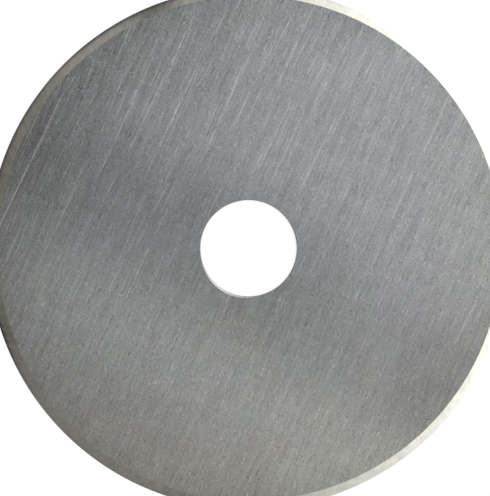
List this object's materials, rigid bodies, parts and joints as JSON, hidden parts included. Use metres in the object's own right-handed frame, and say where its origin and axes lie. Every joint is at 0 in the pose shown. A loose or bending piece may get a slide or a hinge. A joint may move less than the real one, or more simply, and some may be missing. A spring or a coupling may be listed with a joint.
{
  "type": "rotary cutter blade",
  "caption": "Thin round steel cutting disc with a plain centre hole and an edge bevelled all round the rim from both faces. It rolls on a handle's boss to slice fabric, paper or film.",
  "frame": {"origin": "on the axis of the centre hole, in the plane of the lower flat face, which the blade rests on", "axes": "+Z along the axis of the hole, out of the upper face; +X towards the narrowest place of the upper face's bevel"},
  "size_m": [0.045, 0.045, 0.0003],
  "materials": {
    "ground_steel": "bright hardened steel; faces with a fine straight grinding grain and some longer scratches, bevels finely ground and brighter, edge honed, hole punched and deburred on one side"
  },
  "bodies": {
    "root": {"blade": "ground_steel"}
  },
  "joints": []
}
